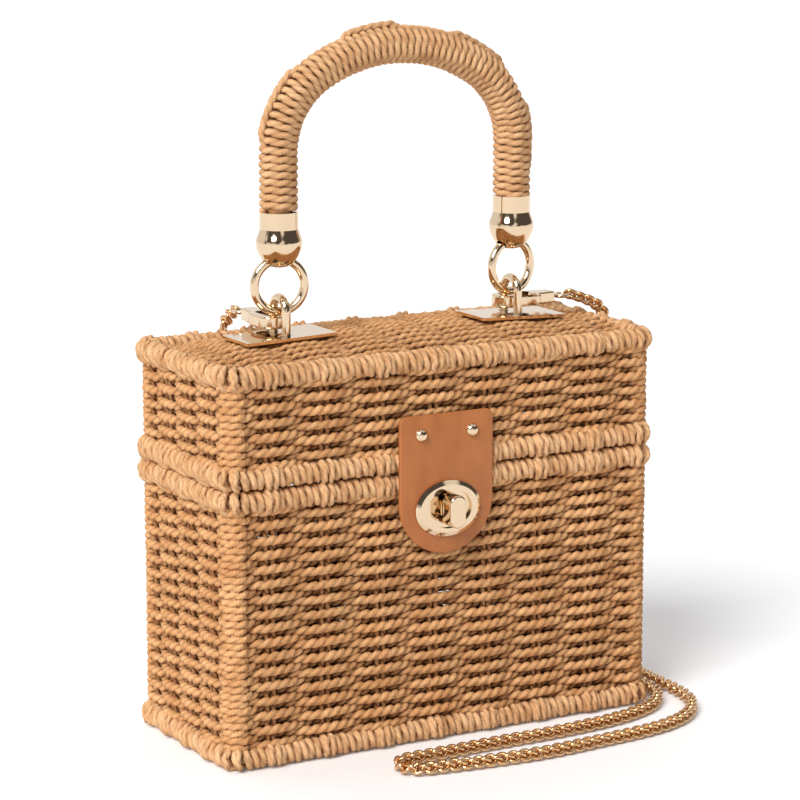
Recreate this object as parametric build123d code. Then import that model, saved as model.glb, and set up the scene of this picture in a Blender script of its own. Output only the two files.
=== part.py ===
from build123d import *
import os
from math import atan2, cos, pi, radians, sin, sqrt, tan

# Basket box bag in millimetres: a woven paper-cord box on a wire frame, with a hinged lid, a leather
# tab with a turn lock, a ring-hung carrying handle and a shoulder chain clipped to the lid.
# +Z is up, +X is to the right seen from the front, and the front faces -Y.
# The origin is on the floor, under the middle of the box.

# ---- The box and its rims ----
box_width = 200.0  # over the rims
box_depth = 86.0
corner_radius = 10.0  # outside of the rims, seen from above
rim_diameter = 8.4  # over the cord binding
wire_diameter = 3.0  # steel frame inside the rims
wire_clearance = 0.2  # round the wire
body_height = 111.8  # floor to the top of the body's upper rim
lid_gap = 0.6  # between the two meeting rims
lid_height = 48.2  # over both rims of the lid
weave_thickness = 5.6
base_thickness = 6.8  # its underside is level with the lowest rim
base_inset = 1.6  # how far its edge stays inside the rims' centre line
lid_crown = 4.2  # rise of the woven top from the rim's centre line to the middle

# ---- Hinge ties at the rear ----
tie_spacing = 116.0
tie_width = 9.0
tie_thickness = 1.8
soft_clearance = 0.3
tie_notch = 2.2  # gap in the weave round a tie

# ---- Leather tab and turn lock ----
tab_offset = -3.0  # the lock sits a little left of the middle
tab_width = 42.7
tab_length = 57.0
tab_rise = 23.2  # of the tab's top edge above the lid's lower edge
tab_thickness = 1.8
tab_top_corner = 3.0
rivet_spacing = 23.4
rivet_drop = 8.0  # from the tab's top edge
rivet_head_diameter = 5.6
rivet_head_height = 2.0
rivet_shank_diameter = 3.0
rivet_cap_diameter = 8.0
rivet_cap_thickness = 1.0
lock_drop = 38.5  # of the lock below the tab's top edge
eyelet_width = 29.8
eyelet_height = 22.7
eyelet_thickness = 2.2
eyelet_recess_width = 20.6
eyelet_recess_height = 16.0
eyelet_recess_depth = 1.3
slot_width = 15.8
slot_height = 9.8
eyelet_collar = 1.0  # wall of the collar that passes through the leather
eyelet_washer_thickness = 0.5
lock_plate_width = 27.0
lock_plate_height = 12.0
lock_plate_thickness = 1.0
lock_prong_spacing = 19.0
lock_prong_width = 1.2
lock_prong_height = 3.0
boss_diameter = 9.0
boss_reach = 0.4  # how far the boss stands past the eyelet's face
spindle_diameter = 4.4
running_clearance = 0.06
knob_width = 7.2
knob_length = 13.4
knob_depth = 6.6
knob_gap = 0.3
knob_washer_diameter = 9.0
knob_washer_thickness = 1.0

# ---- Handle hardware on the lid ----
handle_span = 108.0  # between the legs' centre lines
plate_width = 40.0
plate_depth = 23.0
plate_thickness = 1.2
plate_tilt = 2.0  # the plates follow the crown
plate_rise = 0.15  # of the plates' middle over the crown
arch_bar = 3.6
arch_radius = 5.6  # to the bar's centre
arch_rise = 8.95  # of the arch's centre over its plate, where the ring's lower wire lies
arch_stud = 3.0  # thinned leg that passes through the lid
hole_clearance = 0.3
backing_width = 34.0
backing_depth = 19.0
backing_thickness = 1.0
nut_across = 5.5
nut_height = 2.4
ring_radius = 10.5  # to the wire's centre
ring_wire = 3.6
ring_turns = (-8.0, 10.0)  # each ring stands a little askew, seen from above

# ---- Handle ----
cap_drop = 3.3  # of the cap's lowest point under the middle of the ring's upper wire
cap_bulb_height = 15.6
cap_bulb_radius = 9.35
cap_bulb_center = 10.2  # above the cap's lowest point
cap_neck_radius = 7.8
cap_neck_height = 6.8
cap_eye_clearance = 0.35
handle_swing_each_way = 30.0  # of the caps on their rings
wrap_radius = 7.75
core_radius = 4.7
wrap_clearance = 0.15
shoulder_radius = 36.0
crown_radius = 70.0
handle_rise = 86.4  # of the centre line at its highest over the caps' lowest point
lace_diameter = 3.0

# ---- Snap clasps ----
clasp_length = 28.0  # without the swivel
clasp_thickness = 5.2
clasp_head_width = 12.6
clasp_head_length = 19.0
clasp_eye_width = 6.6
clasp_eye_length = 14.2
clasp_nose = 2.8  # thickness of the hook at its end
clasp_barrel_width = 8.2
clasp_tail_width = 5.8
clasp_drop = 4.75  # of its middle under the arch's centre, just under the ring
gate_start = 7.6
gate_width = 2.6
gate_thickness = 2.6
gate_play = 0.2
gate_pin_x = 18.8
gate_pin_y = -4.4
gate_pin_diameter = 1.2
swivel_post_diameter = 1.8
swivel_head_diameter = 3.0
swivel_head_length = 1.6
swivel_eye_radius = 3.0
swivel_eye_wire = 1.8

# ---- Shoulder chain ----
chain_width = 6.0
chain_floor = chain_width / 2
chain_end_gap = 0.4
fillet_share = 0.45

# ---- Sizes worked out from the ones above ----
rim_radius = rim_diameter / 2
rim_x = box_width / 2 - rim_radius
rim_y = box_depth / 2 - rim_radius
rim_corner = corner_radius - rim_radius
base_rim_z = rim_radius
body_rim_z = body_height - rim_radius
lid_low = body_height + lid_gap
lid_rim_z = lid_low + rim_radius
lid_top_rim_z = lid_low + lid_height - rim_radius
half_weave = weave_thickness / 2
crown_z = lid_top_rim_z + rim_radius + lid_crown
tab_top = lid_low + tab_rise
lock_height = tab_top - lock_drop
plate_top = crown_z + plate_rise
arch_center = plate_top + arch_rise
clasp_height = arch_center - clasp_drop
ring_top = arch_center + 2 * ring_radius
cap_low = ring_top - cap_drop
handle_top = cap_low + handle_rise
wall_front = -rim_y - half_weave
wall_inner = -rim_y + half_weave
tab_back = -box_depth / 2 - soft_clearance - 0.1
tab_front = tab_back - tab_thickness
eyelet_face = tab_front - eyelet_thickness
boss_face = eyelet_face - boss_reach
arch_sides = (-handle_span / 2, handle_span / 2)


def rim_outline(grow):
    """The rims' centre line seen from above, as a face grown outwards by grow."""
    return RectangleRounded(2 * (rim_x + grow), 2 * (rim_y + grow), rim_corner + grow)


def rim_tube(z, diameter):
    """A tube that follows the rims' centre line at height z."""
    path = (Pos(0, 0, z) * rim_outline(0)).wire()
    section = Plane(origin=path @ 0, z_dir=path % 0) * Circle(diameter / 2)
    return sweep(section, path=path)


def block(grow, low, high):
    """An upright block on the rims' centre line, grown outwards by grow."""
    return Pos(0, 0, low) * extrude(rim_outline(grow), high - low)


def uprights(low, high, diameter):
    """The four corner posts of the frame."""
    reach = rim_corner * sin(radians(45))
    posts = Part()
    for side_x in (-1, 1):
        for side_y in (-1, 1):
            x = side_x * (rim_x - rim_corner + reach)
            y = side_y * (rim_y - rim_corner + reach)
            posts += Pos(x, y, (low + high) / 2) * Cylinder(diameter / 2, high - low)
    return posts


def bar_y(x, z, near, far, radius):
    """A round bar along Y between two places."""
    turn = Rot(90, 0, 0)
    return Pos(x, (near + far) / 2, z) * turn * Cylinder(radius, abs(far - near))


def bar_x(x, y, z, length, radius):
    """A round bar along X, centred."""
    return Pos(x, y, z) * Rot(0, 90, 0) * Cylinder(radius, length)


def slab_y(shape, near, far):
    """A flat shape drawn in X and Z, as thick as the stretch between two places along Y."""
    front = Plane(origin=(0, max(near, far), 0), x_dir=(1, 0, 0), z_dir=(0, -1, 0))
    return extrude(front * shape, abs(far - near))


wire_hole = wire_diameter + 2 * wire_clearance
nodes = {}
os.makedirs("parts", exist_ok=True)

# ---- Frames and rim bindings ----
nodes["body_frame"] = (
    rim_tube(base_rim_z, wire_diameter)
    + rim_tube(body_rim_z, wire_diameter)
    + uprights(base_rim_z, body_rim_z, wire_diameter)
)
nodes["lid_frame"] = (
    rim_tube(lid_rim_z, wire_diameter)
    + rim_tube(lid_top_rim_z, wire_diameter)
    + uprights(lid_rim_z, lid_top_rim_z, wire_diameter)
)
body_post_hole = uprights(base_rim_z, body_rim_z, wire_hole)
lid_post_hole = uprights(lid_rim_z, lid_top_rim_z, wire_hole)
for name, z, posts in (
    ("body_base_binding", base_rim_z, body_post_hole),
    ("body_rim_binding", body_rim_z, body_post_hole),
    ("lid_rim_binding", lid_rim_z, lid_post_hole),
    ("lid_top_binding", lid_top_rim_z, lid_post_hole),
):
    nodes[name] = rim_tube(z, rim_diameter) - rim_tube(z, wire_hole) - posts

# ---- Hinge ties: loops of cord round both meeting rims, in which the lid's rim turns ----
tie_inner = rim_radius + soft_clearance
tie_outer = tie_inner + tie_thickness
tie_step = lid_rim_z - body_rim_z
notch_radius = tie_outer + tie_notch
tie_places = (("left", -tie_spacing / 2), ("right", tie_spacing / 2))
tie_side = Plane(origin=(0, rim_y, (lid_rim_z + body_rim_z) / 2), x_dir=(0, 0, 1), z_dir=(1, 0, 0))
tie_loop = SlotCenterToCenter(tie_step, 2 * tie_outer) - SlotCenterToCenter(tie_step, 2 * tie_inner)
body_notches = Part()
lid_notches = Part()
for side, x in tie_places:
    nodes[f"hinge_tie_{side}"] = Pos(x - tie_width / 2, 0, 0) * extrude(tie_side * tie_loop, tie_width)
    notch_width = tie_width + 2 * soft_clearance
    body_notches += bar_x(x, rim_y, body_rim_z, notch_width, notch_radius)
    lid_notches += bar_x(x, rim_y, lid_rim_z, notch_width, notch_radius)

# ---- Woven body: four walls and a base ----
lock_x = tab_offset
prong_xs = (lock_x - lock_prong_spacing / 2, lock_x + lock_prong_spacing / 2)
backing_near = wall_inner + soft_clearance
backing_far = backing_near + lock_plate_thickness
spindle_hole_radius = spindle_diameter / 2 + soft_clearance
spindle_hole = bar_y(lock_x, lock_height, wall_front - 1, wall_inner + 1, spindle_hole_radius)
prong_holes = Part()
for x in prong_xs:
    prong_holes += Pos(x, -rim_y, lock_height) * Box(
        lock_prong_width + 2 * hole_clearance, weave_thickness + 2, lock_prong_height + 2 * hole_clearance
    )
nodes["body_base"] = block(-base_inset, 0, base_thickness) - rim_tube(base_rim_z, rim_diameter)
nodes["body_walls"] = (
    block(half_weave, base_rim_z, body_rim_z)
    - block(-half_weave, base_rim_z - 1, body_rim_z + 1)
    - rim_tube(base_rim_z, rim_diameter)
    - rim_tube(body_rim_z, rim_diameter)
    - body_post_hole
    - body_notches
    - spindle_hole
    - prong_holes
)

# ---- Woven lid: four walls and a crowned top ----
arc_y = (rim_y**2 + lid_crown**2) / (2 * lid_crown)
arc_x = (rim_x**2 + lid_crown**2) / (2 * lid_crown)


def under_crown(depth):
    """Everything below the crowned top, or below a surface that lies depth under it."""
    along = Pos(0, 0, crown_z - arc_y) * Rot(0, 90, 0) * Cylinder(arc_y - depth, 2 * box_width)
    across = Pos(0, 0, crown_z - arc_x) * Rot(90, 0, 0) * Cylinder(arc_x - depth, 2 * box_width)
    return along & across


def leg_holes(diameter, low, high):
    """Upright holes for the legs of both arches."""
    holes = Part()
    for x in arch_sides:
        for y in (-arch_radius, arch_radius):
            holes += Pos(x, y, (low + high) / 2) * Cylinder(diameter / 2, high - low)
    return holes


rivet_z = tab_top - rivet_drop
rivet_places = (("left", lock_x - rivet_spacing / 2), ("right", lock_x + rivet_spacing / 2))
shank_holes = Part()
for side, x in rivet_places:
    shank_holes += bar_y(x, rivet_z, wall_front - 1, wall_inner + 1, rivet_shank_diameter / 2 + hole_clearance)
nodes["lid_walls"] = (
    block(half_weave, lid_rim_z, lid_top_rim_z)
    - block(-half_weave, lid_low - 1, lid_top_rim_z + 1)
    - rim_tube(lid_rim_z, rim_diameter)
    - rim_tube(lid_top_rim_z, rim_diameter)
    - lid_post_hole
    - lid_notches
    - shank_holes
)
lid_top = block(0, lid_top_rim_z - 6, crown_z + 1) & under_crown(0)
lid_top -= under_crown(weave_thickness)
nodes["lid_top"] = (
    lid_top
    - rim_tube(lid_top_rim_z, rim_diameter)
    - lid_post_hole
    - leg_holes(arch_bar + 2 * hole_clearance, lid_top_rim_z - 10, crown_z + 1)
)

# ---- Turn lock on the body's front wall ----
lock_plate_near = wall_front - lock_plate_thickness
lock_plate_shape = Pos(lock_x, lock_height) * RectangleRounded(lock_plate_width, lock_plate_height, 4)
lock_plate = slab_y(lock_plate_shape, wall_front, lock_plate_near)
lock_plate += bar_y(lock_x, lock_height, lock_plate_near, boss_face, boss_diameter / 2)
for x in prong_xs:
    prong_length = backing_far - wall_front
    prong = Box(lock_prong_width, prong_length, lock_prong_height)
    lock_plate += Pos(x, wall_front + prong_length / 2, lock_height) * prong
lock_plate -= bar_y(lock_x, lock_height, wall_front + 1, boss_face - 1, spindle_diameter / 2 + running_clearance)
nodes["lock_plate"] = lock_plate
backing = slab_y(lock_plate_shape, backing_near, backing_far)
backing -= bar_y(lock_x, lock_height, backing_near - 1, backing_far + 1, spindle_diameter / 2 + running_clearance)
for x in prong_xs:
    backing -= Pos(x, backing_near, lock_height) * Box(lock_prong_width, 4, lock_prong_height)
nodes["lock_backing_plate"] = backing

# ---- Turning knob: a rounded bar on a spindle, with a washer riveted on its inner end ----
knob_near = boss_face - knob_gap
knob_face = knob_near - knob_depth
knob_shape = Pos(lock_x, lock_height) * RectangleRounded(knob_width, knob_length, knob_width / 2 - 0.1)
knob_head = slab_y(knob_shape, knob_near, knob_face)
knob_head = fillet(knob_head.faces().sort_by(Axis.Y)[0].edges(), 0.9)
washer_near = backing_far + soft_clearance
washer_far = washer_near + knob_washer_thickness
nodes["lock_knob"] = knob_head + bar_y(lock_x, lock_height, knob_near - 1, washer_far, spindle_diameter / 2)
nodes["lock_knob_washer"] = bar_y(lock_x, lock_height, washer_near, washer_far, knob_washer_diameter / 2) - bar_y(
    lock_x, lock_height, washer_near - 1, washer_far + 1, spindle_diameter / 2
)

# ---- Leather tab, its eyelet and rivets ----
tab_round = tab_width / 2
tab_straight = tab_length - tab_round
tab_low_center = tab_top - tab_straight
tab_shape = Pos(lock_x, tab_top - tab_straight / 2) * Rectangle(tab_width, tab_straight)
tab_shape = fillet(tab_shape.vertices().sort_by(Axis.Y)[-2:], tab_top_corner)
tab_shape += Pos(lock_x, tab_low_center) * Circle(tab_round)
collar_shape = Pos(lock_x, lock_height) * Ellipse(slot_width / 2 + eyelet_collar, slot_height / 2 + eyelet_collar)
tab_shape -= collar_shape
for side, x in rivet_places:
    tab_shape -= Pos(x, rivet_z) * Circle(rivet_shank_diameter / 2)
nodes["tab_leather"] = slab_y(tab_shape, tab_back, tab_front)

slot_shape = Pos(lock_x, lock_height) * Ellipse(slot_width / 2, slot_height / 2)
recess_shape = Pos(lock_x, lock_height) * Ellipse(eyelet_recess_width / 2, eyelet_recess_height / 2)
eyelet_shape = Pos(lock_x, lock_height) * Ellipse(eyelet_width / 2, eyelet_height / 2)
washer_back = tab_back + eyelet_washer_thickness
eyelet_plate = slab_y(eyelet_shape, tab_front, eyelet_face)
eyelet_plate = chamfer(eyelet_plate.faces().sort_by(Axis.Y)[0].edges(), 1.1, 1.6)
eyelet_plate -= slab_y(recess_shape, eyelet_face + eyelet_recess_depth, eyelet_face - 1)
eyelet_plate += slab_y(collar_shape, washer_back, tab_front)
nodes["tab_eyelet"] = eyelet_plate - slab_y(slot_shape, washer_back + 1, eyelet_face - 1)
washer_shape = Pos(lock_x, lock_height) * Ellipse(slot_width / 2 + 4, slot_height / 2 + 4) - collar_shape
nodes["tab_eyelet_washer"] = slab_y(washer_shape, washer_back, tab_back)

cap_back = wall_inner + soft_clearance + rivet_cap_thickness
dome_radius = ((rivet_head_diameter / 2) ** 2 + rivet_head_height**2) / (2 * rivet_head_height)
for side, x in rivet_places:
    dome = Pos(x, tab_front - rivet_head_height + dome_radius, rivet_z) * Sphere(dome_radius)
    dome &= Pos(x, tab_front - rivet_head_height, rivet_z) * Box(20, 2 * rivet_head_height, 20)
    shank = bar_y(x, rivet_z, tab_front - 0.2, cap_back, rivet_shank_diameter / 2)
    nodes[f"tab_rivet_{side}"] = dome + shank
    disc = bar_y(x, rivet_z, cap_back - rivet_cap_thickness, cap_back, rivet_cap_diameter / 2)
    nodes[f"tab_rivet_cap_{side}"] = disc - bar_y(x, rivet_z, wall_inner, cap_back + 1, rivet_shank_diameter / 2)

# ---- Handle plates, arches and their fixings under the lid ----
backing_reach = handle_span / 2 + backing_width / 2
backing_drop = arc_x - sqrt(arc_x**2 - backing_reach**2) + arc_y - sqrt(arc_y**2 - (backing_depth / 2) ** 2)
backing_top = crown_z - weave_thickness - soft_clearance - backing_drop
backing_low = backing_top - backing_thickness
nut_low = backing_low - nut_height
for side, x, tilt in (("left", arch_sides[0], -plate_tilt), ("right", arch_sides[1], plate_tilt)):
    plate = Rot(0, tilt, 0) * Box(plate_width, plate_depth, plate_thickness)
    plate = Pos(x, 0, plate_top - plate_thickness / 2) * plate
    plate_holes = leg_holes(arch_bar + 2 * hole_clearance, plate_top - 5, plate_top + 5)
    nodes[f"handle_plate_{side}"] = plate - plate_holes
    side_plane = Plane(origin=(x, 0, arch_center), x_dir=(0, 1, 0), z_dir=(1, 0, 0))
    bow = Pos(x, 0, arch_center) * Rot(0, 90, 0) * Torus(arch_radius, arch_bar / 2)
    bow &= Pos(x, 0, arch_center + 10) * Box(20, 40, 20)
    shoulder_z = plate_top - plate_thickness
    for y in (-arch_radius, arch_radius):
        bow += Pos(x, y, (arch_center + shoulder_z) / 2) * Cylinder(arch_bar / 2, arch_center - shoulder_z)
        bow += Pos(x, y, (shoulder_z + nut_low) / 2) * Cylinder(arch_stud / 2, shoulder_z - nut_low)
    nodes[f"handle_arch_{side}"] = bow
    under = Pos(x, 0, (backing_low + backing_top) / 2) * Box(backing_width, backing_depth, backing_thickness)
    nodes[f"handle_backing_{side}"] = under - leg_holes(arch_stud + 0.2, backing_low - 1, backing_top + 1)
    nuts = Part()
    for y in (-arch_radius, arch_radius):
        nuts += Pos(x, y, nut_low) * extrude(RegularPolygon(nut_across / 2, 6, major_radius=False), nut_height)
    nodes[f"handle_nuts_{side}"] = nuts - leg_holes(arch_stud + 0.1, nut_low - 1, backing_low + 1)

# ---- Rings ----
for side, x, turn in (("left", arch_sides[0], ring_turns[0]), ("right", arch_sides[1], ring_turns[1])):
    place = Pos(x, 0, arch_center + ring_radius) * Rot(0, 0, turn) * Rot(90, 0, 0)
    nodes[f"ring_{side}"] = place * Torus(ring_radius, ring_wire / 2)

# ---- Handle caps: a bulb with an eye for the ring, under a short socket for the handle ----
cap_high = cap_low + cap_bulb_height + cap_neck_height
bulb_top = cap_low + cap_bulb_height
bulb_mid = cap_low + cap_bulb_center
cap_outline = Polyline((cap_neck_radius, bulb_top), (cap_neck_radius, cap_high), (0, cap_high), (0, cap_low))
cap_curve = Spline(
    (0, cap_low),
    (6.3, cap_low + 2.6),
    (cap_bulb_radius, bulb_mid),
    (cap_neck_radius, bulb_top),
    tangents=((1, 0), (-0.25, 1)),
)
cap_profile = make_face(cap_outline + cap_curve)
socket_radius = core_radius + wrap_clearance
socket_depth = cap_neck_height + 2.0
for side, x, turn in (("left", arch_sides[0], ring_turns[0]), ("right", arch_sides[1], ring_turns[1])):
    cap = Pos(x, 0, 0) * revolve(Plane.XZ * cap_profile, Axis.Z)
    cap -= Pos(x, 0, cap_high - socket_depth / 2) * Cylinder(socket_radius, socket_depth)
    for step in (-1.0, -0.5, 0.0, 0.5, 1.0):
        pose = Pos(x, 0, ring_top) * Rot(step * handle_swing_each_way, 0, 0) * Pos(0, 0, -ring_radius)
        cap -= pose * Rot(0, 0, turn) * Rot(90, 0, 0) * Torus(ring_radius, ring_wire / 2 + cap_eye_clearance)
    nodes[f"handle_cap_{side}"] = cap

# ---- Handle: a stiff core, a cord wrapping and a lace over the wrapping ----
half_span = handle_span / 2
shoulder_x = half_span - shoulder_radius
crown_low = handle_top - crown_radius
shoulder_low = crown_low + sqrt((crown_radius - shoulder_radius) ** 2 - shoulder_x**2)
lean = atan2(shoulder_low - crown_low, shoulder_x)


def handle_path(low, out=0.0):
    """The handle's centre line, or a line that runs beside it at a distance of out."""
    legs = half_span + out
    bend = shoulder_radius + out
    top = crown_radius + out
    knee = (shoulder_x + bend * cos(lean), shoulder_low + bend * sin(lean))
    mid = (shoulder_x + bend * cos(lean / 2), shoulder_low + bend * sin(lean / 2))
    crown = (0, crown_low + top)
    lines = Line((-legs, low), (-legs, shoulder_low))
    lines += ThreePointArc((-legs, shoulder_low), (-mid[0], mid[1]), (-knee[0], knee[1]))
    lines += ThreePointArc((-knee[0], knee[1]), crown, knee)
    lines += ThreePointArc(knee, mid, (legs, shoulder_low))
    lines += Line((legs, shoulder_low), (legs, low))
    return Plane.XZ * lines


def swept(path, radius):
    """A round bar along a path."""
    start = Plane(origin=path @ 0, z_dir=path % 0)
    return sweep(start * Circle(radius), path=path)


core_low = cap_high - socket_depth
nodes["handle_core"] = swept(handle_path(core_low), core_radius)
wrap_low = cap_high + 0.1
wrap_bore = swept(handle_path(wrap_low - 5), core_radius + wrap_clearance)
nodes["handle_wrap"] = swept(handle_path(wrap_low), wrap_radius) - wrap_bore

lace_out = wrap_radius + lace_diameter / 2 - 0.2


def lace_arc(center_x, center_z, radius, first, last):
    """A stretch of the lace along an arc, between two angles above the +X direction."""
    arc = CenterArc((center_x, center_z), radius, first, last - first)
    return swept(Plane.XZ * arc, lace_diameter / 2)


bend_out = shoulder_radius + lace_out
crown_out = crown_radius + lace_out
lace = lace_arc(-shoulder_x, shoulder_low, bend_out, 153, 180)
lace += lace_arc(0, crown_low, crown_out, 102.5, 118.8)
lace += lace_arc(0, crown_low, crown_out, 64.5, 83)
lace += lace_arc(shoulder_x, shoulder_low, bend_out, 0, 34.5)
nodes["handle_lace"] = lace - swept(handle_path(wrap_low), wrap_radius)

# ---- Snap clasps, drawn with their nose at the origin and their axis along +X ----
clasp_head = Pos(clasp_head_length / 2, 0) * SlotOverall(clasp_head_length, clasp_head_width)
barrel_start = clasp_head_length - 5
clasp_barrel = make_face(
    Polyline(
        (barrel_start, clasp_barrel_width / 2),
        (barrel_start + 6, clasp_barrel_width / 2),
        (clasp_length, clasp_tail_width / 2),
        (clasp_length, -clasp_tail_width / 2),
        (barrel_start + 6, -clasp_barrel_width / 2),
        (barrel_start, -clasp_barrel_width / 2),
        close=True,
    )
)
clasp_solid = Pos(0, 0, -clasp_thickness / 2) * extrude(clasp_head + clasp_barrel, clasp_thickness)
clasp_rims = clasp_solid.faces().sort_by(Axis.Z)[-1].edges() + clasp_solid.faces().sort_by(Axis.Z)[0].edges()
clasp_solid = fillet(clasp_rims, 0.9)
eye_center = clasp_nose + clasp_eye_length / 2
clasp_eye = Pos(eye_center, 0) * SlotOverall(clasp_eye_length, clasp_eye_width)
clasp_solid -= Pos(0, 0, -clasp_thickness) * extrude(clasp_eye, 2 * clasp_thickness)
gap_end = gate_pin_x - 1.9
clasp_solid -= Pos((gate_start + gap_end) / 2, -5.5, 0) * Box(gap_end - gate_start, 5, 2 * clasp_thickness)
pocket_end = gate_pin_x + 2.0
pocket_start = gap_end - 2.5
pocket = Box(pocket_end - pocket_start, 6.4, gate_thickness + 2 * gate_play)
clasp_solid -= Pos((pocket_start + pocket_end) / 2, -4.6, 0) * pocket
post_bore = swivel_post_diameter / 2 + running_clearance
head_bore = swivel_head_diameter / 2 + running_clearance
head_low = clasp_length - 4.0
clasp_solid -= bar_x(clasp_length - 1.5, 0, 0, 5, post_bore)
clasp_solid -= bar_x(head_low, 0, 0, swivel_head_length + 2 * running_clearance, head_bore)
pin_place = Pos(gate_pin_x, gate_pin_y, 0)
clasp_solid -= pin_place * Cylinder(gate_pin_diameter / 2, 2 * clasp_thickness)
clasp_pin = pin_place * Cylinder(gate_pin_diameter / 2, clasp_thickness - 0.2)

gate_low = gate_pin_y - gate_width / 2
gate_bar = Pos((gate_start + 0.3 + gate_pin_x) / 2, gate_pin_y) * Rectangle(gate_pin_x - gate_start - 0.3, gate_width)
gate_bar += Pos(gate_pin_x, gate_pin_y) * Circle(gate_width / 2 + 0.1)
gate_bar += Pos(gate_start + 3.0, gate_low - 0.4) * SlotOverall(4.4, 2.0)
clasp_gate = Pos(0, 0, -gate_thickness / 2) * extrude(gate_bar, gate_thickness)
clasp_gate -= pin_place * Cylinder(gate_pin_diameter / 2 + running_clearance, 2 * clasp_thickness)

eye_mid = clasp_length + 1.6 + swivel_eye_radius + swivel_eye_wire / 2
post_length = eye_mid - swivel_eye_radius - head_low
clasp_swivel = bar_x(head_low + post_length / 2, 0, 0, post_length, swivel_post_diameter / 2)
clasp_swivel += bar_x(head_low, 0, 0, swivel_head_length, swivel_head_diameter / 2)
clasp_swivel += Pos(eye_mid, 0, 0) * Torus(swivel_eye_radius, swivel_eye_wire / 2)
clasp_reach = eye_mid + swivel_eye_radius + swivel_eye_wire / 2

leg_in_clasp = clasp_nose + soft_clearance + arch_bar / 2
clasp_places = {
    "right": Pos(arch_sides[1] - leg_in_clasp, arch_radius, clasp_height),
    "left": Pos(arch_sides[0], arch_radius - leg_in_clasp, clasp_height) * Rot(0, 0, 90),
}
for side, place in clasp_places.items():
    nodes[f"clasp_body_{side}"] = place * clasp_solid
    nodes[f"clasp_pin_{side}"] = place * clasp_pin
    nodes[f"clasp_gate_{side}"] = place * clasp_gate
    nodes[f"clasp_swivel_{side}"] = place * clasp_swivel

# ---- Shoulder chain: corner points of its route from the right clasp to the left one ----
right_end = (arch_sides[1] - leg_in_clasp + clasp_reach + chain_end_gap, arch_radius, clasp_height)
left_end = (arch_sides[0], arch_radius - leg_in_clasp + clasp_reach + chain_end_gap, clasp_height)
chain_parts = {
    "chain_lid_right": [
        right_end,
        (95.4, 6.1, 166.6),
        (104.0, 7.0, 161.8),
        (107.6, 8.2, 152.0),
    ],
    "chain_drop_right": [
        (107.9, 9.2, 134.0),
        (107.8, 10.4, 102.0),
        (107.2, 10.7, 66.0),
        (106.9, 10.1, 38.0),
        (106.8, 6.4, 20.5),
        (106.8, -3.0, 8.2),
    ],
    "chain_floor_front": [
        (106.9, -16.5, chain_floor),
        (107.2, -31.0, chain_floor),
        (101.4, -45.0, chain_floor),
        (89.0, -55.0, chain_floor),
        (68.0, -61.6, chain_floor),
        (40.0, -64.2, chain_floor),
        (8.0, -64.4, chain_floor),
        (-11.0, -65.2, chain_floor),
        (-24.0, -65.3, chain_floor),
        (-34.8, -65.4, chain_floor),
        (-38.9, -69.3, chain_floor),
        (-38.9, -75.2, chain_floor),
        (-34.8, -79.1, chain_floor),
        (-24.2, -80.6, chain_floor),
        (-4.0, -83.4, chain_floor),
        (22.0, -85.2, chain_floor),
        (50.0, -82.4, chain_floor),
        (74.0, -80.4, chain_floor),
        (92.0, -74.6, chain_floor),
        (104.4, -65.0, chain_floor),
        (112.0, -52.4, chain_floor),
        (114.8, -38.0, chain_floor),
    ],
    "chain_floor_rear": [
        (115.0, -20.0, chain_floor),
        (116.4, 0.0, chain_floor),
        (116.2, 22.0, chain_floor),
        (112.6, 40.0, chain_floor),
        (103.0, 54.0, chain_floor),
        (87.0, 61.4, chain_floor),
        (64.0, 62.4, chain_floor),
        (34.0, 60.4, chain_floor),
        (4.0, 62.6, chain_floor),
        (-20.0, 62.2, chain_floor),
        (-36.0, 60.4, chain_floor),
    ],
    "chain_drop_rear": [
        (-48.0, 57.2, 8.6),
        (-54.0, 54.2, 22.0),
        (-55.6, 52.6, 42.0),
        (-55.4, 51.6, 70.0),
        (-55.0, 51.6, 100.0),
        (-55.2, 51.4, 128.0),
        (-55.2, 51.8, 146.0),
    ],
    "chain_lid_rear": [
        (-54.8, 50.8, 158.6),
        (-54.4, 45.4, 166.0),
        left_end,
    ],
}
chain_route = [Vector(*point) for part in chain_parts.values() for point in part]


def chain_radius(i):
    """The arc at a corner of the route: as large as its two runs allow."""
    before = chain_route[i] - chain_route[i - 1]
    after = chain_route[i + 1] - chain_route[i]
    half_turn = radians(before.get_angle(after)) / 2
    return fillet_share * min(before.length, after.length) / tan(half_turn)


chain_length = 0.0
first = 0
for name, part in chain_parts.items():
    last = first + len(part) - 1
    corners = [i for i in range(first, last + 1) if 0 < i < len(chain_route) - 1]
    start = chain_route[0]
    if first > 0:
        start = (chain_route[first - 1] + chain_route[first]) / 2
    end = chain_route[-1]
    if last < len(chain_route) - 1:
        end = (chain_route[last] + chain_route[last + 1]) / 2
    radii = [chain_radius(i) for i in corners]
    line = FilletPolyline(start, *[chain_route[i] for i in corners], end, radius=radii)
    nodes[name] = swept(line, chain_width / 2)
    straight = pi * (chain_width / 2) ** 2 * line.length
    share = nodes[name].volume / straight
    print(f"{name}: length {line.length:.1f}, tightest arc {min(radii):.1f}, volume share {share:.4f}")
    chain_length += line.length
    first = last + 1
print(f"chain length {chain_length:.1f}")

for name, shape in nodes.items():
    export_step(shape, f"parts/{name}.step")
print(len(nodes), "nodes")
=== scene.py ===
# %% [markdown]
# # Basket box bag
# The bag is a woven paper-cord box on a wire frame. Its metal fittings come from the CAD model as
# they are, and this script gives them their finishes. Made here are the woven walls, top and base,
# the wound rims and handle, the hinge ties, the leather tab and the chain's links.
# The first cell loads the imported CAD model.

import bpy
import bmesh
import random
from math import atan2, cos, pi, radians, sin, sqrt
from mathutils import Matrix, Vector, noise


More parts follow.
